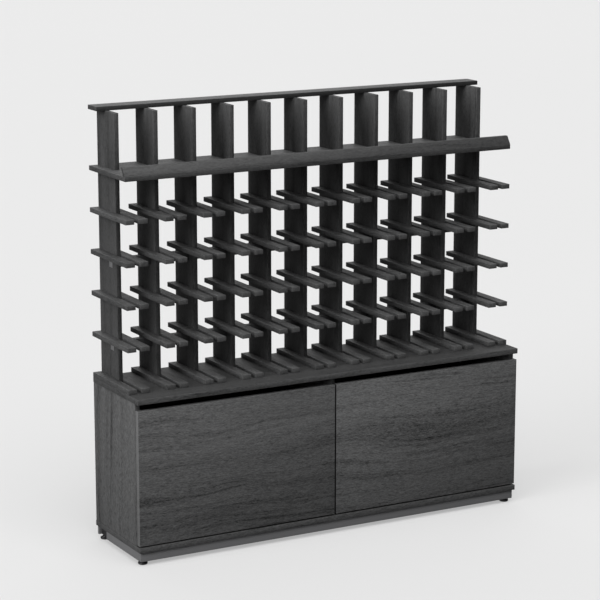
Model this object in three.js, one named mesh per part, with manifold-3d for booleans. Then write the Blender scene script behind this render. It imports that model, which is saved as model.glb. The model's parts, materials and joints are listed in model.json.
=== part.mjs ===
// A wine rack in black-stained wood, standing with its back to a wall.
//
// A low cabinet with two deep drawers carries a lattice of plank uprights and sticks. Every upright has a
// stick on each side at each level, and a bottle lies on the two sticks that face each other across a bay.
// A display shelf with a leaning lip crosses the uprights, and a top rail closes them.
//
// Millimetres, +Z up. The origin is on the floor under the middle of the rack. +Y points to the wall.

import * as THREE from 'three';
import { mergeVertices } from 'three/addons/utils/BufferGeometryUtils.js';
import Module from 'manifold-3d';

// ---------------------------------------------------------------- driving dimensions

const overallWidth = 1200;
const cabinetDepth = 288;

const bayCount = 10;
const levelCount = 5;
const levelPitch = 114; // from one row of sticks to the next
const rackDepth = 230; // length of the sticks, and depth of the display shelf
const stickWidth = 25.5;
const stickHeight = 13;
const uprightThickness = 13;
const uprightDepth = 112;

const tieBarDepth = 20;
const tieBarHeight = 25;
const tieBarSetback = 65; // from the wall plane to the back of the bar
const tieBarDrop = 1.5; // from the underside of the sticks to the top of the bar
const tieBarLevels = [1, 3]; // counted from the cabinet, starting at 0
const tieBarProud = 0.5; // how far its ends stand out of the end uprights

const shelfThickness = 13;
const lipHeight = 23;
const lipLean = 15; // how far its top leans back
const lipThickness = 10;
const displayHeight = 151; // clear height from the display shelf to the top rail
const railThickness = 12;
const railDepth = 56;

const footDiameter = 26;
const footPadHeight = 9;
const plinthClearance = 12; // from the floor to the plinth
const footStemDiameter = 8;
const footStemLength = 16; // inside its block
const footSideInset = 20;
const footFrontInset = 27;
const footBackInset = 16;
const footBlockSize = 32;

const plinthHeight = 26;
const plinthThickness = 8;
const plinthSideInset = 5;
const plinthFrontInset = 7;
const plinthNotch = 58; // from the wall plane to the ends of its side rails, open for the foot blocks

const boardThickness = 15; // top and bottom of the cabinet
const panelThickness = 14; // its sides and divider
const panelInset = 1; // sides and drawer fronts, from the ends of the boards
const cabinetOpening = 393; // clear height inside
const backPanelThickness = 6;
const backPanelInset = 8;

const frontThickness = 16;
const frontSetback = 3;
const frontStandoff = 2; // from a closed front to the edges of the panels behind it
const frontBottomGap = 3.5;
const frontMiddleGap = 4.5;
const fingerGap = 18; // over the fronts, to pull them by

const drawerSideThickness = 12;
const drawerSideHeight = 180;
const drawerFloorClearance = 15;
const drawerBackClearance = 12;
const drawerBottomThickness = 6;
const drawerGrooveDepth = 5;
const drawerGrooveHeight = 10; // from the lower edge of the side to the groove

const runnerWidth = 12.7;
const runnerHeight = 45;
const runnerWall = 1.2;
const runnerBallGap = 1.6;
const runnerLift = 22; // from the lower edge of the drawer side to the runner
const runnerEndGap = 3; // from the front of the panels to the front of the runner

const easing = 0.05; // every face is held back by this much, so that neighbours never bind
const slotPlay = 0.3; // round whatever passes through a slot or a bore

// ---------------------------------------------------------------- derived places

const halfWidth = overallWidth / 2;
const back = cabinetDepth / 2; // the wall plane
const front = -cabinetDepth / 2;

const bayPitch = (overallWidth - uprightThickness - 2 * stickWidth) / bayCount;
const uprightX = Array.from({ length: bayCount + 1 }, (_, i) => (i - bayCount / 2) * bayPitch);

const plinthTop = plinthClearance + plinthHeight;
const cabinetFloor = plinthTop + boardThickness;
const cabinetCeiling = cabinetFloor + cabinetOpening;
const cabinetTop = cabinetCeiling + boardThickness;
const levelBottom = Array.from({ length: levelCount }, (_, i) => cabinetTop + i * levelPitch);
const shelfTop = cabinetTop + stickHeight + levelCount * levelPitch;
const shelfBottom = shelfTop - shelfThickness;
const uprightTop = shelfTop + displayHeight;
const rackFront = back - rackDepth;

const frontFace = front + frontSetback;
const panelFront = frontFace + frontThickness + frontStandoff;
const panelOuterX = halfWidth - panelInset;
const panelInnerX = panelOuterX - panelThickness;
const dividerHalf = panelThickness / 2;
const backPanelFront = back - backPanelInset - backPanelThickness;

// ---------------------------------------------------------------- materials

function finish(color, roughness, metalness) {
  return () => new THREE.MeshStandardMaterial({ color, roughness, metalness });
}

const stainedWood = finish(0x4b4c4d, 0.72, 0);
const plinthPaint = finish(0x626568, 0.55, 0);
const blackPlastic = finish(0x17181a, 0.5, 0);
const satinSteel = finish(0x9c9d9f, 0.35, 1);
const zincSteel = finish(0xb4b8bc, 0.4, 1);
const birchPly = finish(0xc8b08a, 0.65, 0);
const darkBoard = finish(0x2c2d2e, 0.8, 0);

// ---------------------------------------------------------------- shaping helpers

const rack = new THREE.Group();

function add(name, geometry, material, position = [0, 0, 0]) {
  const mesh = new THREE.Mesh(geometry, material());
  mesh.name = name;
  mesh.position.set(...position);
  rack.add(mesh);
}

// A board between two opposite corners, eased on every face.
function addBoard(name, material, low, high) {
  const size = low.map((value, i) => high[i] - value - 2 * easing);
  const centre = low.map((value, i) => (value + high[i]) / 2);
  add(name, new THREE.BoxGeometry(...size), material, centre);
}

function shapeOf(points) {
  return new THREE.Shape(points.map(([u, v]) => new THREE.Vector2(u, v)));
}

// An outline in (y, z), extruded along +X from x = 0.
function extrudeAlongX(points, length) {
  const geometry = new THREE.ExtrudeGeometry(shapeOf(points), { depth: length, bevelEnabled: false });
  const basis = new THREE.Matrix4().makeBasis(
    new THREE.Vector3(0, 1, 0), new THREE.Vector3(0, 0, 1), new THREE.Vector3(1, 0, 0));
  return geometry.applyMatrix4(basis);
}

// An outline in (x, z), extruded along -Y from y = 0.
function extrudeAlongY(points, length) {
  const geometry = new THREE.ExtrudeGeometry(shapeOf(points), { depth: length, bevelEnabled: false });
  const basis = new THREE.Matrix4().makeBasis(
    new THREE.Vector3(1, 0, 0), new THREE.Vector3(0, 0, 1), new THREE.Vector3(0, -1, 0));
  return geometry.applyMatrix4(basis);
}

// An outline in (x, y), extruded along +Z from z = 0.
function extrudeAlongZ(shape, length) {
  return new THREE.ExtrudeGeometry(shape, { depth: length, bevelEnabled: false, curveSegments: 12 });
}

function boxBetween(low, high) {
  const size = low.map((value, i) => high[i] - value);
  const centre = low.map((value, i) => (value + high[i]) / 2);
  return new THREE.BoxGeometry(...size).translate(...centre);
}

const wasm = await Module();
wasm.setup();

function toSolid(geometry) {
  const bare = geometry.clone();
  bare.deleteAttribute('normal');
  bare.deleteAttribute('uv');
  const merged = mergeVertices(bare);
  return new wasm.Manifold(new wasm.Mesh({
    numProp: 3,
    vertProperties: new Float32Array(merged.attributes.position.array),
    triVerts: new Uint32Array(merged.index.array),
  }));
}

function toGeometry(solid) {
  const mesh = solid.getMesh();
  const geometry = new THREE.BufferGeometry();
  geometry.setAttribute('position', new THREE.BufferAttribute(mesh.vertProperties, 3));
  geometry.setIndex(new THREE.BufferAttribute(mesh.triVerts, 1));
  geometry.computeVertexNormals();
  return geometry;
}

// ---------------------------------------------------------------- cabinet

function addCabinet() {
  addBoard('cabinet_bottom', stainedWood, [-halfWidth, front, plinthTop], [halfWidth, back, cabinetFloor]);
  addBoard('cabinet_top', stainedWood, [-halfWidth, front, cabinetCeiling], [halfWidth, back, cabinetTop]);
  addBoard('cabinet_side_left', stainedWood,
    [-panelOuterX, panelFront, cabinetFloor], [-panelInnerX, back, cabinetCeiling]);
  addBoard('cabinet_side_right', stainedWood,
    [panelInnerX, panelFront, cabinetFloor], [panelOuterX, back, cabinetCeiling]);
  addBoard('cabinet_divider', stainedWood,
    [-dividerHalf, panelFront, cabinetFloor], [dividerHalf, backPanelFront, cabinetCeiling]);
  addBoard('cabinet_back', darkBoard,
    [-panelInnerX, backPanelFront, cabinetFloor], [panelInnerX, backPanelFront + backPanelThickness, cabinetCeiling]);
}

function addPlinth() {
  const outerX = halfWidth - plinthSideInset;
  const innerX = outerX - plinthThickness;
  const outerFront = front + plinthFrontInset;
  const innerFront = outerFront + plinthThickness;
  const sideEnd = back - plinthNotch;
  const low = plinthClearance;
  addBoard('plinth_front', plinthPaint, [-outerX, outerFront, low], [outerX, innerFront, plinthTop]);
  addBoard('plinth_left', plinthPaint, [-outerX, innerFront, low], [-innerX, sideEnd, plinthTop]);
  addBoard('plinth_right', plinthPaint, [innerX, innerFront, low], [outerX, sideEnd, plinthTop]);
  addBoard('plinth_back', plinthPaint, [-outerX, back - plinthThickness, low], [outerX, back, plinthTop]);
}

// The pad and the screw of a foot are one turned piece.
function footGeometry() {
  const r = footDiameter / 2;
  const rim = 2;
  const stem = footStemDiameter / 2;
  const neckTop = plinthClearance;
  const profile = [
    [0, 0], [r - rim, 0], [r, rim], [r, footPadHeight - rim], [r - rim, footPadHeight],
    [stem, footPadHeight], [stem, neckTop + footStemLength], [0, neckTop + footStemLength],
  ];
  const geometry = new THREE.LatheGeometry(profile.map(([x, y]) => new THREE.Vector2(x, y)), 32);
  return geometry.rotateX(Math.PI / 2);
}

// A square block, bored through for the screw of its foot.
function footBlockGeometry(low, high, foot) {
  const shape = shapeOf([[low[0], low[1]], [high[0], low[1]], [high[0], high[1]], [low[0], high[1]]]);
  const bore = new THREE.Path();
  bore.absarc(foot[0], foot[1], footStemDiameter / 2 + slotPlay, 0, 2 * Math.PI, true);
  shape.holes.push(bore);
  return extrudeAlongZ(shape, plinthHeight - 2 * easing);
}

function addFeet() {
  const footX = halfWidth - footSideInset;
  const blockOuterX = halfWidth - plinthSideInset - plinthThickness - slotPlay;
  const frontBlockLow = front + plinthFrontInset + plinthThickness + slotPlay;
  const backBlockHigh = back - plinthThickness - slotPlay;
  const rows = [
    { row: 'front', y: front + footFrontInset, blockLow: frontBlockLow },
    { row: 'back', y: back - footBackInset, blockLow: backBlockHigh - footBlockSize },
  ];
  for (const { row, y, blockLow } of rows) {
    for (const [side, sign] of [['left', -1], ['right', 1]]) {
      const x = sign * footX;
      const blockX = [sign * blockOuterX, sign * (blockOuterX - footBlockSize)].sort((a, b) => a - b);
      const block = footBlockGeometry([blockX[0], blockLow], [blockX[1], blockLow + footBlockSize], [x, y]);
      add(`foot_block_${row}_${side}`, block, blackPlastic, [0, 0, plinthClearance + easing]);
      add(`foot_${row}_${side}`, footGeometry(), blackPlastic, [x, y, 0]);
    }
  }
}

// ---------------------------------------------------------------- drawers

// The profile of a runner member: a channel with its web at `web` and its flanges reaching to `tip`,
// both measured from the face of the cabinet panel, towards the drawer.
function channelProfile(panelX, towards, web, tip, height) {
  const wall = web < tip ? runnerWall : -runnerWall;
  const h = height / 2;
  const outline = [
    [web, -h], [tip, -h], [tip, -h + runnerWall], [web + wall, -h + runnerWall],
    [web + wall, h - runnerWall], [tip, h - runnerWall], [tip, h], [web, h],
  ];
  return outline.map(([x, z]) => [panelX + towards * x, z]);
}

function addRunner(prefix, panelX, towards, centreZ, startY, length) {
  const middleHeight = runnerHeight - 2 * (runnerWall + runnerBallGap);
  const drawerHeight = middleHeight - 2 * (runnerWall + runnerBallGap);
  const middleWeb = runnerWall + runnerBallGap;
  const members = [
    ['cabinet_member', easing, runnerWidth - 3, runnerHeight],
    ['middle_member', middleWeb, runnerWidth - 1.8, middleHeight],
    ['drawer_member', runnerWidth - easing, middleWeb + runnerWall + 1, drawerHeight],
  ];
  for (const [name, web, tip, height] of members) {
    const profile = channelProfile(panelX, towards, web, tip, height);
    add(`${prefix}_${name}`, extrudeAlongY(profile, length), zincSteel, [0, startY + length, centreZ]);
  }
}

// A drawer side with a groove along its inner face for the bottom.
function drawerSideProfile(outerX, towards) {
  const t = drawerSideThickness - easing;
  const g0 = drawerGrooveHeight;
  const g1 = drawerGrooveHeight + drawerBottomThickness;
  const groove = drawerSideThickness - drawerGrooveDepth;
  const outline = [
    [easing, 0], [t, 0], [t, g0], [groove, g0], [groove, g1], [t, g1], [t, drawerSideHeight], [easing, drawerSideHeight],
  ];
  return outline.map(([x, z]) => [outerX + towards * x, z]);
}

function addDrawer(name, openingLow, openingHigh, frontLow, frontHigh) {
  const boxFront = frontFace + frontThickness;
  const boxBack = backPanelFront - drawerBackClearance;
  const length = boxBack - boxFront;
  const low = cabinetFloor + drawerFloorClearance;
  const outerLow = openingLow + runnerWidth;
  const outerHigh = openingHigh - runnerWidth;
  const innerLow = outerLow + drawerSideThickness;
  const innerHigh = outerHigh - drawerSideThickness;
  const bottomLow = low + drawerGrooveHeight;
  const bottomHigh = bottomLow + drawerBottomThickness;

  addBoard(`${name}_front`, stainedWood,
    [frontLow, frontFace, cabinetFloor + frontBottomGap], [frontHigh, boxFront, cabinetCeiling - fingerGap]);
  for (const [side, x, towards] of [['left', outerLow, 1], ['right', outerHigh, -1]]) {
    const profile = drawerSideProfile(x, towards);
    add(`${name}_side_${side}`, extrudeAlongY(profile, length - 2 * easing), birchPly, [0, boxBack - easing, low]);
  }
  addBoard(`${name}_back`, birchPly,
    [innerLow, boxBack - drawerSideThickness, bottomHigh], [innerHigh, boxBack, low + drawerSideHeight]);
  addBoard(`${name}_bottom`, birchPly,
    [innerLow - drawerGrooveDepth + slotPlay, boxFront, bottomLow],
    [innerHigh + drawerGrooveDepth - slotPlay, boxBack, bottomHigh]);

  const runnerStart = panelFront + runnerEndGap;
  const runnerLength = boxBack - runnerStart;
  const runnerZ = low + runnerLift + runnerHeight / 2;
  addRunner(`${name}_runner_left`, openingLow, 1, runnerZ, runnerStart, runnerLength);
  addRunner(`${name}_runner_right`, openingHigh, -1, runnerZ, runnerStart, runnerLength);
}

function addDrawers() {
  const middle = frontMiddleGap / 2;
  addDrawer('drawer_left', -panelInnerX, -dividerHalf, -panelOuterX, -middle);
  addDrawer('drawer_right', dividerHalf, panelInnerX, middle, panelOuterX);
}

// ---------------------------------------------------------------- lattice

// One row of an upright: the stick on its left and the stick on its right, joined through the plank.
function stickPairGeometry() {
  const inner = uprightThickness / 2;
  const outer = inner + stickWidth - easing;
  const backFace = back - easing;
  const outline = [
    [-outer, backFace], [outer, backFace], [outer, rackFront], [inner, rackFront],
    [inner, back - uprightDepth], [-inner, back - uprightDepth], [-inner, rackFront], [-outer, rackFront],
  ];
  return extrudeAlongZ(shapeOf(outline), stickHeight - easing);
}

// An upright plank with its sticks. It is slotted for the tie bars, and halved into the display shelf.
function ladderGeometry() {
  const half = uprightThickness / 2;
  const past = uprightThickness;
  const uprightFront = back - uprightDepth;
  let ladder = toSolid(boxBetween(
    [-half, uprightFront, cabinetTop + easing], [half, back - easing, uprightTop - easing]));
  const pair = stickPairGeometry();
  for (const z of levelBottom) {
    ladder = ladder.add(toSolid(pair.clone().translate(0, 0, z + easing)));
  }
  for (const level of tieBarLevels) {
    const top = levelBottom[level] - tieBarDrop;
    const barBack = back - tieBarSetback;
    ladder = ladder.subtract(toSolid(boxBetween(
      [-past, barBack - tieBarDepth - slotPlay, top - tieBarHeight - slotPlay],
      [past, barBack + slotPlay, top + slotPlay])));
  }
  ladder = ladder.subtract(toSolid(boxBetween(
    [-past, uprightFront - past, shelfBottom - slotPlay],
    [past, back - uprightDepth / 2 + slotPlay, shelfTop + slotPlay])));
  return toGeometry(ladder);
}

function addLattice() {
  const ladder = ladderGeometry();
  uprightX.forEach((x, i) => {
    const number = String(i + 1).padStart(2, '0');
    add(`rack_ladder_${number}`, ladder, stainedWood, [x, 0, 0]);
  });
  const barReach = uprightX[bayCount] + uprightThickness / 2 + tieBarProud;
  const barHigh = back - tieBarSetback;
  tieBarLevels.forEach((level, i) => {
    const top = levelBottom[level] - tieBarDrop;
    addBoard(`tie_bar_${i === 0 ? 'lower' : 'upper'}`, satinSteel,
      [-barReach, barHigh - tieBarDepth, top - tieBarHeight], [barReach, barHigh, top]);
  });
}

// The display shelf is a comb: its slots run in from the back, over the halved uprights.
function displayShelfGeometry() {
  const slotHalf = uprightThickness / 2 + slotPlay;
  const slotEnd = back - uprightDepth / 2 - slotPlay;
  const outline = [[-halfWidth + easing, rackFront], [halfWidth - easing, rackFront], [halfWidth - easing, back - easing]];
  for (const x of [...uprightX].reverse()) {
    outline.push([x + slotHalf, back - easing], [x + slotHalf, slotEnd]);
    outline.push([x - slotHalf, slotEnd], [x - slotHalf, back - easing]);
  }
  outline.push([-halfWidth + easing, back - easing]);
  return extrudeAlongZ(shapeOf(outline), shelfThickness - 2 * easing);
}

function addDisplay() {
  add('display_shelf', displayShelfGeometry(), stainedWood, [0, 0, shelfBottom + easing]);
  const lip = [[0, 0], [lipThickness, 0], [lipThickness + lipLean, lipHeight], [lipLean, lipHeight]];
  add('shelf_lip', extrudeAlongX(lip, overallWidth - 2 * easing), stainedWood,
    [-halfWidth + easing, rackFront, shelfTop + easing]);
  addBoard('top_rail', stainedWood,
    [-halfWidth, back - railDepth, uprightTop], [halfWidth, back, uprightTop + railThickness]);
}

addCabinet();
addPlinth();
addFeet();
addDrawers();
addLattice();
addDisplay();

export default rack;
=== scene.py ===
"""A wine rack in black-stained wood: the finished pieces, their materials and the studio.

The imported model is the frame. Every visible piece is made here from the places of the frame's nodes.
"""

import json
import math
import random

import bmesh
import bpy
from bpy.props import FloatProperty, FloatVectorProperty, IntProperty, PointerProperty
from mathutils import Euler, Matrix, Vector


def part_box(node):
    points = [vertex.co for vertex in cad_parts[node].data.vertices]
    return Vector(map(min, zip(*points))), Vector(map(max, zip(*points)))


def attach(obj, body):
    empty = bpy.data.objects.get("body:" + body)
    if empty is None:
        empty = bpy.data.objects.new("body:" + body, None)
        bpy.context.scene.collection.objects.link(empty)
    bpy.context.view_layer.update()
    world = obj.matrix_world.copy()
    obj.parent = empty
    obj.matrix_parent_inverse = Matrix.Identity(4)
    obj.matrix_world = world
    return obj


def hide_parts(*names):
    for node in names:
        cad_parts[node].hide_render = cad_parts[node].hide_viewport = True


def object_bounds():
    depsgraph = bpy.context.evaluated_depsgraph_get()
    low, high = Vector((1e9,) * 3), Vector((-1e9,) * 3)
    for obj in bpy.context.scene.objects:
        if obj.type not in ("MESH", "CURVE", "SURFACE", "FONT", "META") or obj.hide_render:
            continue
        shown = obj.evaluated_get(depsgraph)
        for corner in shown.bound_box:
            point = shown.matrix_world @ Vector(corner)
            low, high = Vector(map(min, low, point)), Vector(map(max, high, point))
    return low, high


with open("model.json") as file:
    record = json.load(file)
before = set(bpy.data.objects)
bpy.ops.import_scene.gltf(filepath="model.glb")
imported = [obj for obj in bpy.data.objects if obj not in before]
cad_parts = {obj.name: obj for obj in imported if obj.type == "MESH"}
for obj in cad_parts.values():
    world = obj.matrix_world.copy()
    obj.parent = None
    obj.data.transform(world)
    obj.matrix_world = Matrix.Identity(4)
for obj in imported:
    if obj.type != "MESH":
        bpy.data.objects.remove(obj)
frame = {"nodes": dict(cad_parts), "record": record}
CAD_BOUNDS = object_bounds()

bl_info = {
    "name": "Wine rack",
    "version": (1, 0, 0),
    "blender": (4, 5, 0),
    "location": "View3D > Sidebar > Wine rack",
    "description": "Builds a lattice wine rack on a drawer cabinet, round a packed frame",
    "category": "Object",
}

X, Y, Z = 0, 1, 2
FRONT, UP = (0.0, -1.0, 0.0), (0.0, 0.0, 1.0)
LADDERS = sorted(name for name in frame["nodes"] if name.startswith("rack_ladder_"))
DRAWERS = ("drawer_left", "drawer_right")
SIDES = ("left", "right")
ROWS = ("front", "back")

SHARP = math.radians(25)  # an edge that turns more than this is sharp
SQUARELY, PARTLY = 0.7, 0.35  # least cosines of a face that looks squarely, or only partly, in a direction
NEAR = 1e-4  # metres, within which two places in the frame are the same
MERGE = 1e-6  # metres, within which two vertices become one
BLACK = (0.0, 0.0, 0.0, 1.0)

PATTERN_REACH = 8.0  # metres, over which the boards are strewn in the wood's pattern
TONE_REACH = 0.09  # how much lighter or darker one board may be than another

# The feet, in metres.
FOOT_RIM_HEIGHT = 0.0062
FOOT_RIM_ROUND = 0.0026  # round the lower edge of the pad
FOOT_TOP_ROUND = 0.0016  # round the upper edge of the rim, and round the flat top of the pad
FOOT_PAD_SHARE = 0.75  # height of the pad, as a share of the room under the block
FOOT_STEM_RADIUS = 0.004
FOOT_NUT_WALL = 0.0016
FOOT_NUT_GAP = 0.0012  # from the nut to the block

# How wide each light looks from the rack, its tilt from overhead and its turn from the front, in degrees.
LIGHTS = {
    "key": {"spread": 45.0, "tilt": 65.0, "turn": -78.0},
    "fill": {"spread": 50.0, "tilt": 31.0, "turn": -8.0},
    "top": {"spread": 50.0, "tilt": 0.0, "turn": 0.0},
    "back": {"spread": 60.0, "tilt": 55.0, "turn": 160.0},
}
FLOOR_REACH = 60.0  # metres, from the middle of the floor to its edges
CAMERA_REACH = 200.0  # metres
SENSOR_WIDTH = 36.0  # millimetres


# ---------------------------------------------------------------- settings


class WineRackSizes(bpy.types.PropertyGroup):
    """Sizes that the frame leaves open"""

    board_edge: FloatProperty(
        name="Board edge", description="Radius on the edges of boards and planks",
        default=0.0008, unit="LENGTH")
    stick_edge: FloatProperty(
        name="Stick edge", description="Radius on the edges of the sticks",
        default=0.0009, unit="LENGTH")
    ply_edge: FloatProperty(
        name="Ply edge", description="Radius on the edges of the drawer boxes",
        default=0.0005, unit="LENGTH")
    hard_edge: FloatProperty(
        name="Hard edge", description="Radius on the edges of the tie bars and plinth",
        default=0.0006, unit="LENGTH")
    slot_play: FloatProperty(
        name="Slot play", description="Gap round whatever passes through a slot",
        default=0.0003, unit="LENGTH")
    edge_segments: IntProperty(
        name="Edge segments", description="Segments in each rounded edge", default=2, min=1, max=6)
    turned_steps: IntProperty(
        name="Turned steps", description="Steps round a turned piece", default=64, min=12, max=128)


class WineRackColours(bpy.types.PropertyGroup):
    """Colours of the finishes"""

    wood: FloatVectorProperty(
        name="Stained wood", description="Middle tone of the stained wood", subtype="COLOR",
        default=(0.0485, 0.0487, 0.0491), min=0, max=1)
    plinth: FloatVectorProperty(
        name="Plinth paint", description="Paint of the plinth", subtype="COLOR",
        default=(0.135, 0.1355, 0.139), min=0, max=1)
    plastic: FloatVectorProperty(
        name="Plastic", description="Plastic of the feet and their blocks", subtype="COLOR",
        default=(0.012, 0.012, 0.013), min=0, max=1)
    lacquer: FloatVectorProperty(
        name="Bar lacquer", description="Lacquer on the tie bars", subtype="COLOR",
        default=(0.03, 0.03, 0.031), min=0, max=1)
    steel: FloatVectorProperty(
        name="Bare steel", description="Bare steel of the tie bar ends", subtype="COLOR",
        default=(0.55, 0.55, 0.56), min=0, max=1)
    zinc: FloatVectorProperty(
        name="Zinc", description="Plated steel of the drawer runners", subtype="COLOR",
        default=(0.55, 0.57, 0.6), min=0, max=1)
    birch: FloatVectorProperty(
        name="Birch", description="Birch plywood of the drawer boxes", subtype="COLOR",
        default=(0.58, 0.43, 0.26), min=0, max=1)
    laminate: FloatVectorProperty(
        name="Laminate", description="Laminate of the cabinet's back", subtype="COLOR",
        default=(0.05, 0.05, 0.052), min=0, max=1)
    floor: FloatVectorProperty(
        name="Floor", description="Studio floor", subtype="COLOR",
        default=(0.26, 0.26, 0.26), min=0, max=1)
    floor_glow: FloatProperty(name="Floor glow", description="Light that the floor gives off", default=1.58)


class WineRackStainAndShading(bpy.types.PropertyGroup):
    """How much lighter some boards are, and the painted shading on some of their faces: painted shade where
    positive, painted light where negative
    """

    veneer: FloatProperty(
        name="Veneer", description="How much lighter the veneered boards are than solid ones",
        default=0.47)
    stick: FloatProperty(
        name="Sticks", description="How much lighter the sticks are than other solid boards",
        default=0.12)
    lip: FloatProperty(
        name="Lip", description="How much lighter the shelf's lip is than other solid boards",
        default=-0.34)
    # Painted shading on faces, for how light falls on them: positive amounts are painted shade, negative
    # ones painted light.
    cabinet_tops: FloatProperty(
        name="Cabinet boards", description="Depth on the tops of the cabinet's top and bottom",
        default=0.75)
    front_ends: FloatProperty(
        name="Front ends", description="Depth on the ends of the drawer fronts that meet", default=1.0)
    shelf_front: FloatProperty(
        name="Shelf front", description="Depth on the front edge of the display shelf", default=0.5)
    shelf_top: FloatProperty(
        name="Shelf top", description="Depth on the top of the display shelf", default=-0.5)
    rail_front: FloatProperty(
        name="Rail front", description="Depth on the front of the top rail", default=0.9)
    rail_top: FloatProperty(
        name="Rail top", description="Depth on the top of the top rail", default=-0.6)


class WineRackStudio(bpy.types.PropertyGroup):
    """Camera and light"""

    azimuth: FloatProperty(
        name="Azimuth", description="Turn of the camera round the rack",
        default=math.radians(-28.94), subtype="ANGLE")
    elevation: FloatProperty(
        name="Elevation", description="Height of the camera above the horizon",
        default=math.radians(12.36), subtype="ANGLE")
    distance: FloatProperty(
        name="Distance", description="From the camera to its target", default=6.2, unit="LENGTH")
    target: FloatVectorProperty(
        name="Target", description="Point the camera looks at, from the middle of the rack",
        default=(-0.076, -0.075, 0.058), subtype="TRANSLATION")
    lens: FloatProperty(name="Lens", description="Focal length on a 36 mm sensor", default=135.95)
    key_strength: FloatProperty(
        name="Key", description="Strength of the light from the left", default=2.85)
    fill_strength: FloatProperty(
        name="Fill", description="Strength of the light from the upper front", default=2.3)
    top_strength: FloatProperty(
        name="Top", description="Strength of the light from above", default=0.9)
    back_strength: FloatProperty(
        name="Back", description="Strength of the light from behind", default=0.7)
    sky_strength: FloatProperty(
        name="Sky", description="Strength of the even light from all round", default=0.15)


class WineRackSettings(bpy.types.PropertyGroup):
    """All settings of the wine rack"""

    sizes: PointerProperty(type=WineRackSizes)
    colours: PointerProperty(type=WineRackColours)
    stain: PointerProperty(type=WineRackStainAndShading)
    studio: PointerProperty(type=WineRackStudio)


def settings():
    return bpy.context.scene.wine_rack


# ---------------------------------------------------------------- shader maths


class Value:
    """A shader socket that takes part in arithmetic: each operator adds one Math node."""

    def __init__(self, material, socket):
        self.material = material
        self.socket = socket

    def _math(self, operation, *operands):
        node = self.material.tree.nodes.new("ShaderNodeMath")
        node.operation = operation
        for socket, operand in zip(node.inputs, operands):
            self.material.feed(socket, operand)
        return Value(self.material, node.outputs[0])

    def __add__(self, other):
        return self._math("ADD", self, other)

    __radd__ = __add__

    def __sub__(self, other):
        return self._math("SUBTRACT", self, other)

    def __rsub__(self, other):
        return self._math("SUBTRACT", other, self)

    def __mul__(self, other):
        return self._math("MULTIPLY", self, other)

    __rmul__ = __mul__

    def above(self, low, high):
        """0 under low, 1 over high, and a smooth ramp between them."""
        return self.material.add(
            "ShaderNodeMapRange", {"interpolation_type": "SMOOTHSTEP"},
            {"Value": self, "From Min": low, "From Max": high, "To Min": 0.0, "To Max": 1.0})

    def wrapped(self):
        """The fraction left after whole units."""
        return self._math("FRACT", self)


class Material:
    """A material under construction, with one Principled shader."""

    def __init__(self, name):
        self.data = bpy.data.materials.new(name)
        self.data.use_nodes = True
        self.tree = self.data.node_tree
        self.shader = self.tree.nodes["Principled BSDF"]

    def feed(self, socket, value):
        """Links a Value, or sets a constant."""
        if isinstance(value, Value):
            self.tree.links.new(value.socket, socket)
        else:
            socket.default_value = value

    def add(self, kind, options=None, inputs=None, output=0):
        """Adds a node: its options first, then the values or links of its sockets."""
        node = self.tree.nodes.new(kind)
        for key, value in (options or {}).items():
            setattr(node, key, value)
        for key, value in (inputs or {}).items():
            self.feed(node.inputs[key], value)
        return Value(self, node.outputs[output])

    def finish(self, **sockets):
        """Feeds the Principled shader. An underscore stands for a space."""
        for key, value in sockets.items():
            self.feed(self.shader.inputs[key.replace("_", " ")], value)
        return self.data

    def attribute(self, name, output="Fac"):
        return self.add("ShaderNodeAttribute", {"attribute_name": name}, output=output)

    def place(self):
        """Object coordinates, in metres."""
        return self.add("ShaderNodeTexCoord", output="Object")

    def stretched(self, vector, scale, offset=(0.0, 0.0, 0.0)):
        """A vector scaled along each of its axes, then moved."""
        return self.add(
            "ShaderNodeMapping", {"vector_type": "POINT"},
            {"Vector": vector, "Scale": scale, "Location": offset})

    def noise(self, vector, detail=3.0, roughness=0.5, distortion=0.0):
        inputs = {"Scale": 1.0, "Detail": detail, "Roughness": roughness, "Distortion": distortion}
        return self.add("ShaderNodeTexNoise", {"noise_dimensions": "3D"}, {"Vector": vector, **inputs})

    def mix(self, factor, low, high):
        """A colour between two colours. Output 2 of a Mix node is its colour."""
        node = self.tree.nodes.new("ShaderNodeMix")
        node.data_type = "RGBA"
        self.feed(node.inputs[0], factor)
        self.feed(node.inputs[6], low)
        self.feed(node.inputs[7], high)
        return Value(self, node.outputs[2])

    def tinted(self, colour, light, headroom):
        """A colour made lighter or darker by a value, to at most headroom times as light."""
        return self.mix(light * (1.0 / headroom), BLACK, shade(colour, headroom))

    def axis(self, vector, number):
        """One coordinate of a vector."""
        return self.add("ShaderNodeSeparateXYZ", None, {"Vector": vector}, output=number)

    def point(self, x, y, z):
        """A vector from three coordinates."""
        return self.add("ShaderNodeCombineXYZ", None, {"X": x, "Y": y, "Z": z})

    def bump(self, height, distance, strength):
        inputs = {"Height": height, "Distance": distance, "Strength": strength}
        return self.add("ShaderNodeBump", None, inputs)


def shade(colour, factor):
    """A colour made lighter or darker, with full alpha."""
    return tuple(min(channel * factor, 1.0) for channel in colour) + (1.0,)


def finish_of(name, build):
    """The material of that name, built the first time it is asked for."""
    return bpy.data.materials.get(name) or build(name)


# ---------------------------------------------------------------- materials


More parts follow.
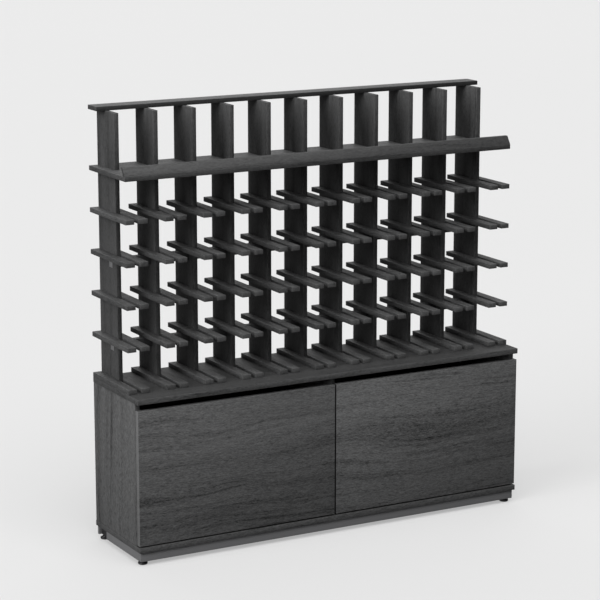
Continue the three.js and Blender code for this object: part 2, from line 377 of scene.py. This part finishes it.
def build_stained_wood(name):
    """Open-pored wood under a matt black stain, with streaks, fibres, pores and a few small knots.

    The grain attribute holds (along, across, through) the board, in metres. Tone is how much lighter the
    whole board is. A glued-on strip is painted lighter, partly as a painted highlight on its lit edge; a
    rounded edge is painted lighter, as wear and as a painted highlight; and painted shading darkens a face
    with painted shade, and lightens it with painted light where it is negative.
    """
    wood = Material(name)
    grain = wood.attribute("grain", "Vector")
    tone = wood.attribute("tone")
    lipping = wood.attribute("lipping")
    worn = wood.attribute("worn")
    deep = wood.attribute("deep")

    along = wood.axis(grain, X)
    across = wood.axis(grain, Y)
    through = wood.axis(grain, Z)
    sway = wood.noise(wood.stretched(grain, (1.9, 3.5, 3.5)), detail=2.0) - 0.5
    bent = wood.point(along, across + sway * 0.09, through)

    band = wood.noise(wood.stretched(bent, (0.9, 15.0, 15.0)), detail=3.0, roughness=0.6)
    streak = wood.noise(wood.stretched(bent, (2.2, 70.0, 70.0)), detail=4.0, roughness=0.65)
    fibre = wood.noise(wood.stretched(bent, (60.0, 340.0, 340.0)), detail=3.0, roughness=0.75)
    vein = wood.noise(wood.stretched(bent, (1.3, 34.0, 34.0)), detail=3.0, roughness=0.55)
    fleck = wood.noise(wood.stretched(bent, (150.0, 640.0, 640.0)), detail=2.0, roughness=0.7)
    pore = wood.noise(wood.stretched(bent, (75.0, 800.0, 800.0)), detail=1.0)
    dark_streak = streak.above(0.54, 0.68)
    dark_vein = vein.above(0.54, 0.62) * (1.0 - vein.above(0.62, 0.74))
    pore_pit = pore.above(0.54, 0.66)

    knot_place = wood.stretched(bent, (2.3, 4.7, 4.7), (0.31, 0.17, 0.0))
    knot_distance = wood.add(
        "ShaderNodeTexVoronoi", {"feature": "F1"}, {"Vector": knot_place, "Scale": 1.0})
    knot = 1.0 - knot_distance.above(0.018, 0.05)

    light = 1.05 + (band - 0.5) * 0.8 + (fibre - 0.5) * 1.7 + (fleck - 0.5) * 2.0
    light = light - dark_streak * 0.35 - dark_vein * 0.2 - pore_pit * 0.35
    # Painted shading: marked faces are darker with painted shade, and lighter with painted light where the
    # mark is negative.
    light = light * (1.0 + tone) * (1.0 - knot * 0.75) * (1.0 - deep * 0.65)
    # Painted highlights: the glued-on strip and the rounded edges are lighter, partly as real lipping and
    # wear.
    light = light + lipping * (0.3 + fleck * 1.6) + worn * 0.2
    surface = fibre * 0.5 - pore_pit * 0.6 - knot * 0.3
    return wood.finish(
        Base_Color=wood.tinted(settings().colours.wood, light, 2.5),
        Roughness=0.52 + fibre * 0.16 + pore_pit * 0.1,
        Normal=wood.bump(surface, 0.0003, 0.7),
        Specular_IOR_Level=0.4,
    )


def build_plinth_paint(name):
    """Matt grey paint with a faint orange-peel surface."""
    paint = Material(name)
    place = paint.place()
    cloud = paint.noise(paint.stretched(place, (3.0, 3.0, 3.0)), detail=3.0)
    peel = paint.noise(paint.stretched(place, (420.0, 420.0, 420.0)), detail=2.0)
    colour = settings().colours.plinth
    body = paint.mix(cloud, shade(colour, 0.9), shade(colour, 1.1))
    normal = paint.bump(peel, 0.00006, 0.5)
    return paint.finish(Base_Color=body, Roughness=0.42 + cloud * 0.1, Normal=normal)


def build_black_plastic(name):
    """Moulded black plastic with a fine spark-eroded grain."""
    plastic = Material(name)
    place = plastic.place()
    grain = plastic.noise(plastic.stretched(place, (1800.0, 1800.0, 1800.0)), detail=1.0)
    scuff = plastic.noise(plastic.stretched(place, (60.0, 60.0, 60.0)), detail=3.0)
    colour = settings().colours.plastic
    body = plastic.mix(scuff, shade(colour, 0.8), shade(colour, 1.5))
    normal = plastic.bump(grain, 0.00004, 0.5)
    return plastic.finish(Base_Color=body, Roughness=0.38 + scuff * 0.2, Normal=normal)


def build_bar_steel(name):
    """Steel bar with black lacquer on its sides. Its sawn ends are bare and brushed."""
    bar = Material(name)
    colours = settings().colours
    place = bar.place()
    bare = bar.attribute("bare")
    brush = bar.noise(bar.stretched(place, (300.0, 60.0, 2600.0)), detail=2.0)
    cloud = bar.noise(bar.stretched(place, (8.0, 40.0, 40.0)), detail=2.0)
    metal = bar.mix(brush, shade(colours.steel, 0.82), shade(colours.steel, 1.15))
    lacquer = bar.mix(cloud, shade(colours.lacquer, 0.8), shade(colours.lacquer, 1.2))
    return bar.finish(
        Base_Color=bar.mix(bare, lacquer, metal),
        Metallic=bare,
        Roughness=0.44 + bare * brush * 0.16 - bare * 0.04,
        Normal=bar.bump(brush * bare + cloud * 0.1, 0.00008, 0.5),
    )


def build_zinc_steel(name):
    """Bright zinc plate on rolled steel, with faint rolling lines along the runner."""
    zinc = Material(name)
    colour = settings().colours.zinc
    place = zinc.place()
    rolled = zinc.noise(zinc.stretched(place, (900.0, 8.0, 900.0)), detail=3.0)
    bloom = zinc.noise(zinc.stretched(place, (45.0, 20.0, 45.0)), detail=4.0, roughness=0.6)
    body = zinc.mix(bloom, shade(colour, 0.82), shade(colour, 1.12))
    normal = zinc.bump(rolled, 0.00005, 0.5)
    return zinc.finish(Base_Color=body, Metallic=1.0, Roughness=0.24 + bloom * 0.2, Normal=normal)


def build_birch_ply(name):
    """Lacquered birch plywood: quiet figure on the faces, light and dark plies on the edges."""
    ply = Material(name)
    grain = ply.attribute("grain", "Vector")
    tone = ply.attribute("tone")
    through = ply.axis(grain, Z)
    figure = ply.noise(ply.stretched(grain, (2.0, 24.0, 0.0)), detail=4.0, roughness=0.6, distortion=0.6)
    fibre = ply.noise(ply.stretched(grain, (25.0, 420.0, 420.0)), detail=2.0)
    layer = (through * 357.0).wrapped().above(0.46, 0.54)
    light = 0.84 + figure * 0.22 + fibre * 0.12 + tone - layer * 0.16
    body = ply.tinted(settings().colours.birch, light, 2.0)
    return ply.finish(Base_Color=body, Roughness=0.4 + fibre * 0.12, Normal=ply.bump(fibre, 0.00012, 0.4))


def build_dark_board(name):
    """Dark laminate of the cabinet's back panel, with a fine pressed grain."""
    board = Material(name)
    grain = board.attribute("grain", "Vector")
    fibre = board.noise(board.stretched(grain, (14.0, 320.0, 320.0)), detail=3.0)
    cloud = board.noise(board.stretched(grain, (3.0, 9.0, 9.0)), detail=2.0)
    colour = settings().colours.laminate
    body = board.mix(fibre * 0.6 + cloud * 0.4, shade(colour, 0.44), shade(colour, 1.0))
    normal = board.bump(fibre, 0.0001, 0.4)
    return board.finish(Base_Color=body, Roughness=0.55 + fibre * 0.1, Normal=normal)


def build_floor(name):
    """Plain pale studio floor, with a little light of its own."""
    floor = Material(name)
    colour = settings().colours.floor
    place = floor.place()
    cloud = floor.noise(floor.stretched(place, (0.4, 0.4, 0.4)), detail=1.0)
    return floor.finish(
        Base_Color=floor.mix(cloud, shade(colour, 0.99), shade(colour, 1.01)),
        Roughness=0.9,
        Specular_IOR_Level=0.1,
        Emission_Color=shade(colour, 1.0),
        Emission_Strength=settings().colours.floor_glow,
    )


def stained_wood():
    return finish_of("Black stained wood", build_stained_wood)


def plinth_paint():
    return finish_of("Grey plinth paint", build_plinth_paint)


def black_plastic():
    return finish_of("Moulded black plastic", build_black_plastic)


def bar_steel():
    return finish_of("Lacquered bar", build_bar_steel)


def zinc_steel():
    return finish_of("Bright zinc plate", build_zinc_steel)


def birch_ply():
    return finish_of("Lacquered birch ply", build_birch_ply)


def dark_board():
    return finish_of("Dark laminate", build_dark_board)


# ---------------------------------------------------------------- solids


def box_solid(low, high):
    """A rectangular solid between two corners."""
    solid = bmesh.new()
    low, high = Vector(low), Vector(high)
    place = Matrix.Translation((low + high) / 2) @ Matrix.Diagonal((*(high - low), 1.0))
    bmesh.ops.create_cube(solid, size=1.0, matrix=place)
    return solid


def outline_solid(points, axis, low, high):
    """An outline in the two axes other than axis, extruded along axis from low to high."""
    solid = bmesh.new()
    corners = []
    for u, v in points:
        place = [u, v]
        place.insert(axis, low)
        corners.append(solid.verts.new(place))
    face = solid.faces.new(corners)
    grown = bmesh.ops.extrude_face_region(solid, geom=[face])
    step = Vector((0.0, 0.0, 0.0))
    step[axis] = high - low
    moved = [part for part in grown["geom"] if isinstance(part, bmesh.types.BMVert)]
    bmesh.ops.translate(solid, verts=moved, vec=step)
    bmesh.ops.recalc_face_normals(solid, faces=solid.faces[:])
    return solid


def arc(centre, radius, start, end, steps):
    """Points of a flat outline that lie on an arc, between two angles in degrees."""
    across, up = centre
    angles = [math.radians(start + (end - start) * step / steps) for step in range(steps + 1)]
    return [(across + radius * math.cos(angle), up + radius * math.sin(angle)) for angle in angles]


def turned_solid(profile, centre, steps):
    """A profile of (radius, height) points, from axis to axis, spun round a vertical axis."""
    solid = bmesh.new()
    centre = Vector(centre)
    ring = [solid.verts.new(centre + Vector((radius, 0.0, height))) for radius, height in profile]
    edges = [solid.edges.new(pair) for pair in zip(ring, ring[1:])]
    bmesh.ops.spin(
        solid, geom=ring + edges, cent=centre, axis=UP, angle=math.tau, steps=steps, use_merge=True)
    bmesh.ops.remove_doubles(solid, verts=solid.verts[:], dist=MERGE)
    bmesh.ops.recalc_face_normals(solid, faces=solid.faces[:])
    return solid


def round_edges(solid, width):
    """Rounds every sharp edge, and marks the new faces to be painted lighter, as wear and as a painted
    highlight.
    """
    worn = solid.faces.layers.float.get("worn") or solid.faces.layers.float.new("worn")
    sharp = [edge for edge in solid.edges if edge.is_manifold and edge.calc_face_angle(0.0) > SHARP]
    made = bmesh.ops.bevel(
        solid, geom=sharp, offset=width, affect="EDGES", segments=settings().sizes.edge_segments,
        profile=0.5, material=-1, clamp_overlap=True)
    for face in made["faces"]:
        face[worn] = 1.0
    return solid


def cut_window(solid, axis, low, high):
    """Opens a window right through a plate along axis, between two corners in the other axes."""
    others = [i for i in (X, Y, Z) if i != axis]
    for other in others:
        normal = Vector((0.0, 0.0, 0.0))
        normal[other] = 1.0
        for level in (low[other], high[other]):
            bmesh.ops.bisect_plane(
                solid, geom=solid.verts[:] + solid.edges[:] + solid.faces[:], plane_co=normal * level,
                plane_no=normal, dist=MERGE / 10)

    def inside(face):
        centre = face.calc_center_median()
        return abs(face.normal[axis]) > SQUARELY and all(low[i] < centre[i] < high[i] for i in others)

    opened = [face for face in solid.faces if inside(face)]
    rims = [edge for edge in solid.edges if sum(face in opened for face in edge.link_faces) == 1]
    bmesh.ops.delete(solid, geom=opened, context="FACES")
    bmesh.ops.bridge_loops(solid, edges=[edge for edge in rims if edge.is_valid])
    return solid


def add_grain(solid, axes, seed, stain=0.0):
    """Stores board coordinates (along, across, through) on each vertex, and one tone for the whole board.

    The stain makes the board lighter or darker than its neighbours.
    """
    dice = random.Random(seed)
    offset = Vector([dice.uniform(-PATTERN_REACH, PATTERN_REACH) for _ in range(3)])
    tone_shift = dice.uniform(-TONE_REACH, TONE_REACH) + stain
    grain = solid.verts.layers.float_vector.get("grain") or solid.verts.layers.float_vector.new("grain")
    tone = solid.verts.layers.float.get("tone") or solid.verts.layers.float.new("tone")
    for vertex in solid.verts:
        vertex[grain] = Vector([vertex.co[axis] for axis in axes]) + offset
        vertex[tone] = tone_shift
    return solid


def mark_faces(solid, name, chosen, amount=1.0):
    """Sets the face attribute of that name on the chosen faces."""
    layer = solid.faces.layers.float.get(name) or solid.faces.layers.float.new(name)
    for face in solid.faces:
        if chosen(face):
            face[layer] = amount
    return solid


def paint_shading(solid, direction, amount):
    """Marks the faces of a board that look in a direction with painted shading: painted shade where the
    amount is positive, painted light where it is negative.
    """
    return mark_faces(solid, "deep", lambda face: face.normal.dot(Vector(direction)) > SQUARELY, amount)


def joined(solids):
    """Puts several solids into one mesh, with the attributes they all have."""
    mesh = bpy.data.meshes.new("joined")
    whole = bmesh.new()
    for solid in solids:
        solid.to_mesh(mesh)
        whole.from_mesh(mesh)
        solid.free()
    bpy.data.meshes.remove(mesh)
    return whole


def piece(name, solid, material, body, slot, *nodes):
    """Makes an object of a solid, hangs it on the body that it rides on, and hides the nodes it stands for.
    The slot is not used.
    """
    mesh = bpy.data.meshes.new(name)
    solid.to_mesh(mesh)
    solid.free()
    mesh.materials.append(material)
    mesh.polygons.foreach_set("use_smooth", [True] * len(mesh.polygons))
    mesh.set_sharp_from_angle(angle=SHARP)
    made = bpy.data.objects.new(name, mesh)
    bpy.context.scene.collection.objects.link(made)
    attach(made, body)
    for node in nodes:
        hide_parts(node)
    return made


def refinish(node, material):
    """Gives a node of the frame, whose shape stays, its finished material."""
    slots = frame["nodes"][node].data.materials
    slots.clear()
    slots.append(material)


def upright_of(node):
    """The middle of a ladder's upright, half its thickness and its front, read over the display shelf."""
    low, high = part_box(node)
    shelf_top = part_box("display_shelf")[1].z
    upper = [v.co for v in frame["nodes"][node].data.vertices if v.co.z > shelf_top + NEAR]
    middle = (low.x + high.x) / 2
    return middle, max(place.x for place in upper) - middle, min(place.y for place in upper)


def body_of(node):
    """The body that a node of the frame rides on."""
    bodies = frame["record"]["behaviour"]["bodies"]
    return next(body for body, members in bodies.items() if node in members)


def plank(node, axes, material, slot, edge, name=None, stain=0.0):
    """A board in the place of a node, its grain along the first of its axes."""
    low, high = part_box(node)
    solid = add_grain(round_edges(box_solid(low, high), edge), axes, node, stain)
    return piece(name or f"{node}_board", solid, material, body_of(node), slot, node)


# ---------------------------------------------------------------- operators


class WINERACK_OT_cabinet(bpy.types.Operator):
    """Top, bottom, sides, divider and back of the cabinet"""

    bl_idname = "wine_rack.cabinet"
    bl_label = "Cabinet"

    def execute(self, context):
        edge = settings().sizes.board_edge
        for node in ("cabinet_top", "cabinet_bottom"):
            low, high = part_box(node)
            # The upward faces of the cabinet's top and bottom carry painted shade.
            solid = paint_shading(round_edges(box_solid(low, high), edge), UP, settings().stain.cabinet_tops)
            add_grain(solid, (X, Y, Z), node)
            piece(f"{node}_board", solid, stained_wood(), body_of(node), "stained_wood", node)
        veneer = settings().stain.veneer
        for node in ("cabinet_side_left", "cabinet_side_right", "cabinet_divider"):
            plank(node, (Z, Y, X), stained_wood(), "stained_wood", edge, stain=veneer)
        plank("cabinet_back", (X, Z, Y), dark_board(), "dark_board", edge / 2)
        return {"FINISHED"}


class WINERACK_OT_plinth(bpy.types.Operator):
    """The four painted rails of the plinth"""

    bl_idname = "wine_rack.plinth"
    bl_label = "Plinth"

    def execute(self, context):
        edge = settings().sizes.hard_edge
        for side in ROWS + SIDES:
            axes = (X, Z, Y) if side in ROWS else (Y, Z, X)
            plank(f"plinth_{side}", axes, plinth_paint(), "plinth_paint", edge, f"plinth_{side}_rail")
        return {"FINISHED"}


class WINERACK_OT_feet(bpy.types.Operator):
    """Levelling feet and the blocks that they screw into"""

    bl_idname = "wine_rack.feet"
    bl_label = "Feet"

    def foot(self, node):
        low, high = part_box(node)
        centre = (low + high) / 2
        radius = (high.x - low.x) / 2
        block_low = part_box(node.replace("foot_", "foot_block_"))[0].z
        pad_top = block_low * FOOT_PAD_SHARE
        nut, nut_top = FOOT_STEM_RADIUS + FOOT_NUT_WALL, block_low - FOOT_NUT_GAP
        low_round, top_round = FOOT_RIM_ROUND, FOOT_TOP_ROUND
        profile = [(0.0, 0.0)]
        profile += arc((radius - low_round, low_round), low_round, -90, 0, 3)
        profile += arc((radius - top_round, FOOT_RIM_HEIGHT - top_round), top_round, 0, 90, 2)
        profile += arc((radius / 2, pad_top - top_round), top_round, 0, 90, 2)
        profile += [(nut, pad_top), (nut, nut_top), (FOOT_STEM_RADIUS, nut_top)]
        profile += [(FOOT_STEM_RADIUS, high.z), (0.0, high.z)]
        steps = settings().sizes.turned_steps
        solid = turned_solid(profile, (centre.x, centre.y, low.z), steps)
        piece(f"{node}_pad", solid, black_plastic(), node, "black_plastic", node)

    def execute(self, context):
        for row in ROWS:
            for side in SIDES:
                self.foot(f"foot_{row}_{side}")
                refinish(f"foot_block_{row}_{side}", black_plastic())
        return {"FINISHED"}


class WINERACK_OT_drawers(bpy.types.Operator):
    """Veneered drawer fronts on plywood boxes"""

    bl_idname = "wine_rack.drawers"
    bl_label = "Drawers"

    def front(self, drawer, outward):
        """The grain runs on from one front to the other."""
        node = f"{drawer}_front"
        low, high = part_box(node)
        solid = round_edges(box_solid(low, high), settings().sizes.board_edge)
        add_grain(solid, (X, Z, Y), "drawer fronts", settings().stain.veneer)
        # The outer ends are lighter: a glued-on strip, and a painted highlight on the lit edge.
        mark_faces(solid, "lipping", lambda face: face.normal.x * outward > PARTLY)
        # The ends where the two fronts meet carry painted shade from the gap between them.
        paint_shading(solid, (-outward, 0.0, 0.0), settings().stain.front_ends)
        piece(f"{drawer}_veneered_front", solid, stained_wood(), drawer, "stained_wood", node)

    def side(self, node, drawer, inward):
        """The side has a groove for the bottom along its inner face."""
        low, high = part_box(node)
        bottom_low, bottom_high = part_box(f"{drawer}_bottom")
        play = settings().sizes.slot_play
        outer, inner = (low.x, high.x) if inward > 0 else (high.x, low.x)
        groove = (bottom_low.x if inward > 0 else bottom_high.x) - inward * play
        groove_low, groove_high = bottom_low.z - play / 2, bottom_high.z + play / 2
        outline = [
            (outer, low.z), (inner, low.z), (inner, groove_low), (groove, groove_low),
            (groove, groove_high), (inner, groove_high), (inner, high.z), (outer, high.z),
        ]
        solid = outline_solid(outline, Y, low.y, high.y)
        add_grain(round_edges(solid, settings().sizes.ply_edge), (Y, Z, X), node)
        piece(f"{node}_ply", solid, birch_ply(), drawer, "birch_ply", node)

    def execute(self, context):
        edge = settings().sizes.ply_edge
        for drawer, outward in zip(DRAWERS, (-1, 1)):
            self.front(drawer, outward)
            self.side(f"{drawer}_side_left", drawer, 1)
            self.side(f"{drawer}_side_right", drawer, -1)
            back, bottom = f"{drawer}_back", f"{drawer}_bottom"
            plank(back, (X, Z, Y), birch_ply(), "birch_ply", edge, f"{back}_ply")
            plank(bottom, (X, Y, Z), birch_ply(), "birch_ply", edge / 2, f"{bottom}_ply")
        return {"FINISHED"}


class WINERACK_OT_runners(bpy.types.Operator):
    """Telescopic drawer runners in plated steel"""

    bl_idname = "wine_rack.runners"
    bl_label = "Runners"

    def execute(self, context):
        for drawer in DRAWERS:
            for side in SIDES:
                for member in ("cabinet_member", "middle_member", "drawer_member"):
                    refinish(f"{drawer}_runner_{side}_{member}", zinc_steel())
        return {"FINISHED"}


class WINERACK_OT_lattice(bpy.types.Operator):
    """Uprights and the sticks on both their faces"""

    bl_idname = "wine_rack.lattice"
    bl_label = "Lattice"

    def stick_heights(self, node):
        """The bottom and top of each row of sticks, from the lowest row up."""
        low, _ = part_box(node)
        outer = [v.co for v in frame["nodes"][node].data.vertices if abs(v.co.x - low.x) < NEAR]
        heights = sorted({round(place.z, 4) for place in outer})
        return zip(heights[::2], heights[1::2])

    def upright(self, node, number):
        """The upright is notched for the display shelf, and mortised for the tie bars."""
        low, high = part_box(node)
        middle, half, plank_front = upright_of(node)
        play = settings().sizes.slot_play
        shelf_low, shelf_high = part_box("display_shelf")
        notch_end = (plank_front + high.y) / 2 + play
        notch_low, notch_high = shelf_low.z - play, shelf_high.z + play
        outline = [(high.y, low.z), (high.y, high.z), (plank_front, high.z)]
        outline += [(plank_front, notch_high), (notch_end, notch_high), (notch_end, notch_low)]
        outline += [(plank_front, notch_low), (plank_front, low.z)]
        solid = outline_solid(outline, X, middle - half, middle + half)
        round_edges(solid, settings().sizes.board_edge)
        for bar in ("tie_bar_lower", "tie_bar_upper"):
            bar_low, bar_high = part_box(bar)
            gap = Vector((play, play, play))
            cut_window(solid, X, bar_low - gap, bar_high + gap)
        add_grain(solid, (Z, Y, X), node)
        piece(f"rack_upright_{number}", solid, stained_wood(), "frame", "stained_wood", node)

    def sticks(self, node, number):
        """The five pairs of sticks on one upright are one piece, each with its own grain."""
        low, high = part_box(node)
        middle, half, _ = upright_of(node)
        spans = {True: (low.x, middle - half), False: (middle + half, high.x)}
        solids = []
        for row, (bottom, top) in enumerate(self.stick_heights(node)):
            for on_left, (start, end) in spans.items():
                stick = box_solid((start, low.y, bottom), (end, high.y, top))
                round_edges(stick, settings().sizes.stick_edge)
                seed = f"{node} {row} {on_left}"
                solids.append(add_grain(stick, (Y, X, Z), seed, settings().stain.stick))
        piece(f"rack_sticks_{number}", joined(solids), stained_wood(), "frame", "stained_wood", node)

    def execute(self, context):
        for node in LADDERS:
            number = node[-2:]
            self.upright(node, number)
            self.sticks(node, number)
        return {"FINISHED"}


class WINERACK_OT_tie_bars(bpy.types.Operator):
    """Steel bars through all the uprights, with bare ends"""

    bl_idname = "wine_rack.tie_bars"
    bl_label = "Tie bars"

    def execute(self, context):
        for node in ("tie_bar_lower", "tie_bar_upper"):
            low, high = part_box(node)
            solid = round_edges(box_solid(low, high), settings().sizes.hard_edge)
            mark_faces(solid, "bare", lambda face: abs(face.normal.x) > PARTLY)
            piece(f"{node}_steel", solid, bar_steel(), "frame", "satin_steel", node)
        return {"FINISHED"}


class WINERACK_OT_display(bpy.types.Operator):
    """Display shelf with its leaning lip, and the top rail"""

    bl_idname = "wine_rack.display"
    bl_label = "Display shelf and rail"

    def shelf(self):
        """The shelf is a comb: a slot runs in from the back over each upright."""
        low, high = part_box("display_shelf")
        play = settings().sizes.slot_play
        outline = [(low.x, low.y), (high.x, low.y), (high.x, high.y)]
        for node in reversed(LADDERS):
            middle, half, upright_front = upright_of(node)
            reach = half + play
            slot_end = (upright_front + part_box(node)[1].y) / 2 - play
            outline += [(middle + reach, high.y), (middle + reach, slot_end)]
            outline += [(middle - reach, slot_end), (middle - reach, high.y)]
        outline.append((low.x, high.y))
        solid = outline_solid(outline, Z, low.z, high.z)
        # The shelf's front edge carries painted shade, and its top painted light.
        paint_shading(round_edges(solid, settings().sizes.board_edge), FRONT, settings().stain.shelf_front)
        add_grain(paint_shading(solid, UP, settings().stain.shelf_top), (X, Y, Z), "display_shelf")
        piece("display_shelf_board", solid, stained_wood(), "frame", "stained_wood", "display_shelf")

    def lip(self):
        """The lip stands on the shelf's front edge, and its top leans back."""
        low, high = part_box("shelf_lip")
        places = [v.co for v in frame["nodes"]["shelf_lip"].data.vertices]
        foot_back = max(place.y for place in places if place.z < low.z + NEAR)
        top_front = min(place.y for place in places if place.z > high.z - NEAR)
        outline = [(low.y, low.z), (foot_back, low.z), (high.y, high.z), (top_front, high.z)]
        solid = outline_solid(outline, X, low.x, high.x)
        round_edges(solid, settings().sizes.board_edge)
        add_grain(solid, (X, Z, Y), "shelf_lip", settings().stain.lip)
        piece("shelf_lip_strip", solid, stained_wood(), "frame", "stained_wood", "shelf_lip")

    def rail(self):
        low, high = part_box("top_rail")
        solid = round_edges(box_solid(low, high), settings().sizes.board_edge)
        # The rail's front carries painted shade, and its top painted light.
        paint_shading(solid, FRONT, settings().stain.rail_front)
        add_grain(paint_shading(solid, UP, settings().stain.rail_top), (X, Y, Z), "top_rail")
        piece("top_rail_board", solid, stained_wood(), "frame", "stained_wood", "top_rail")

    def execute(self, context):
        self.shelf()
        self.lip()
        self.rail()
        return {"FINISHED"}


class WINERACK_OT_studio(bpy.types.Operator):
    """Pale floor, soft light and the camera"""

    bl_idname = "wine_rack.studio"
    bl_label = "Studio"

    def floor(self):
        """The floor is seen, but throws no light back at the rack and isn't mirrored in it."""
        sheet = bmesh.new()
        bmesh.ops.create_grid(sheet, x_segments=1, y_segments=1, size=FLOOR_REACH)
        mesh = bpy.data.meshes.new("studio_floor")
        sheet.to_mesh(mesh)
        sheet.free()
        mesh.materials.append(finish_of("Pale studio floor", build_floor))
        floor = bpy.data.objects.new("studio_floor", mesh)
        bpy.context.scene.collection.objects.link(floor)
        floor.visible_diffuse = False
        floor.visible_glossy = False

    def sun(self, name, strength, spread, tilt, turn):
        """A broad distant light, overhead at no tilt, and from the front at no turn."""
        lamp = bpy.data.lights.new(name, "SUN")
        lamp.energy = strength
        lamp.angle = math.radians(spread)
        made = bpy.data.objects.new(name, lamp)
        made.rotation_euler = Euler((math.radians(tilt), 0.0, math.radians(turn)))
        bpy.context.scene.collection.objects.link(made)

    def lights(self):
        studio = settings().studio
        for name, direction in LIGHTS.items():
            self.sun(name, getattr(studio, f"{name}_strength"), **direction)
        world = bpy.data.worlds.new("studio")
        world.use_nodes = True
        sky = world.node_tree.nodes["Background"]
        sky.inputs["Color"].default_value = (1.0, 1.0, 1.0, 1.0)
        sky.inputs["Strength"].default_value = studio.sky_strength
        bpy.context.scene.world = world

    def camera(self):
        studio = settings().studio
        low, high = CAD_BOUNDS
        target = (Vector(low) + Vector(high)) / 2 + Vector(studio.target)
        back = Vector((
            math.sin(studio.azimuth) * math.cos(studio.elevation),
            -math.cos(studio.azimuth) * math.cos(studio.elevation),
            math.sin(studio.elevation)))
        data = bpy.data.cameras.new("camera")
        data.lens = studio.lens
        data.sensor_width = SENSOR_WIDTH
        data.clip_end = CAMERA_REACH
        camera = bpy.data.objects.new("camera", data)
        camera.location = target + back * studio.distance
        camera.rotation_euler = back.to_track_quat("Z", "Y").to_euler()
        bpy.context.scene.collection.objects.link(camera)
        bpy.context.scene.camera = camera

    def execute(self, context):
        self.floor()
        self.lights()
        self.camera()
        context.scene.view_settings.view_transform = "Standard"
        return {"FINISHED"}


# ---------------------------------------------------------------- panel and registration


STEPS = (
    WINERACK_OT_cabinet, WINERACK_OT_plinth, WINERACK_OT_feet, WINERACK_OT_drawers, WINERACK_OT_runners,
    WINERACK_OT_lattice, WINERACK_OT_tie_bars, WINERACK_OT_display, WINERACK_OT_studio,
)


class WINERACK_PT_panel(bpy.types.Panel):
    """Lists the wine rack's settings and its pieces"""

    bl_idname = "WINERACK_PT_panel"
    bl_label = "Wine rack"
    bl_space_type = "VIEW_3D"
    bl_region_type = "UI"
    bl_category = "Wine rack"

    def draw(self, context):
        column = self.layout.column()
        rack = settings()
        for group in (rack.sizes, rack.colours, rack.stain, rack.studio):
            for name in group.bl_rna.properties.keys():
                if name not in ("rna_type", "name"):
                    column.prop(group, name)
        for step in STEPS:
            column.operator(step.bl_idname)


CLASSES = (
    WineRackSizes, WineRackColours, WineRackStainAndShading, WineRackStudio, WineRackSettings, *STEPS,
    WINERACK_PT_panel,
)


def register():
    for made in CLASSES:
        bpy.utils.register_class(made)
    bpy.types.Scene.wine_rack = PointerProperty(type=WineRackSettings)


def unregister():
    del bpy.types.Scene.wine_rack
    for made in reversed(CLASSES):
        bpy.utils.unregister_class(made)


def main():
    register()
    bpy.ops.wine_rack.cabinet()
    bpy.ops.wine_rack.plinth()
    bpy.ops.wine_rack.feet()
    bpy.ops.wine_rack.drawers()
    bpy.ops.wine_rack.runners()
    bpy.ops.wine_rack.lattice()
    bpy.ops.wine_rack.tie_bars()
    bpy.ops.wine_rack.display()
    bpy.ops.wine_rack.studio()


if __name__ == "__main__":
    main()
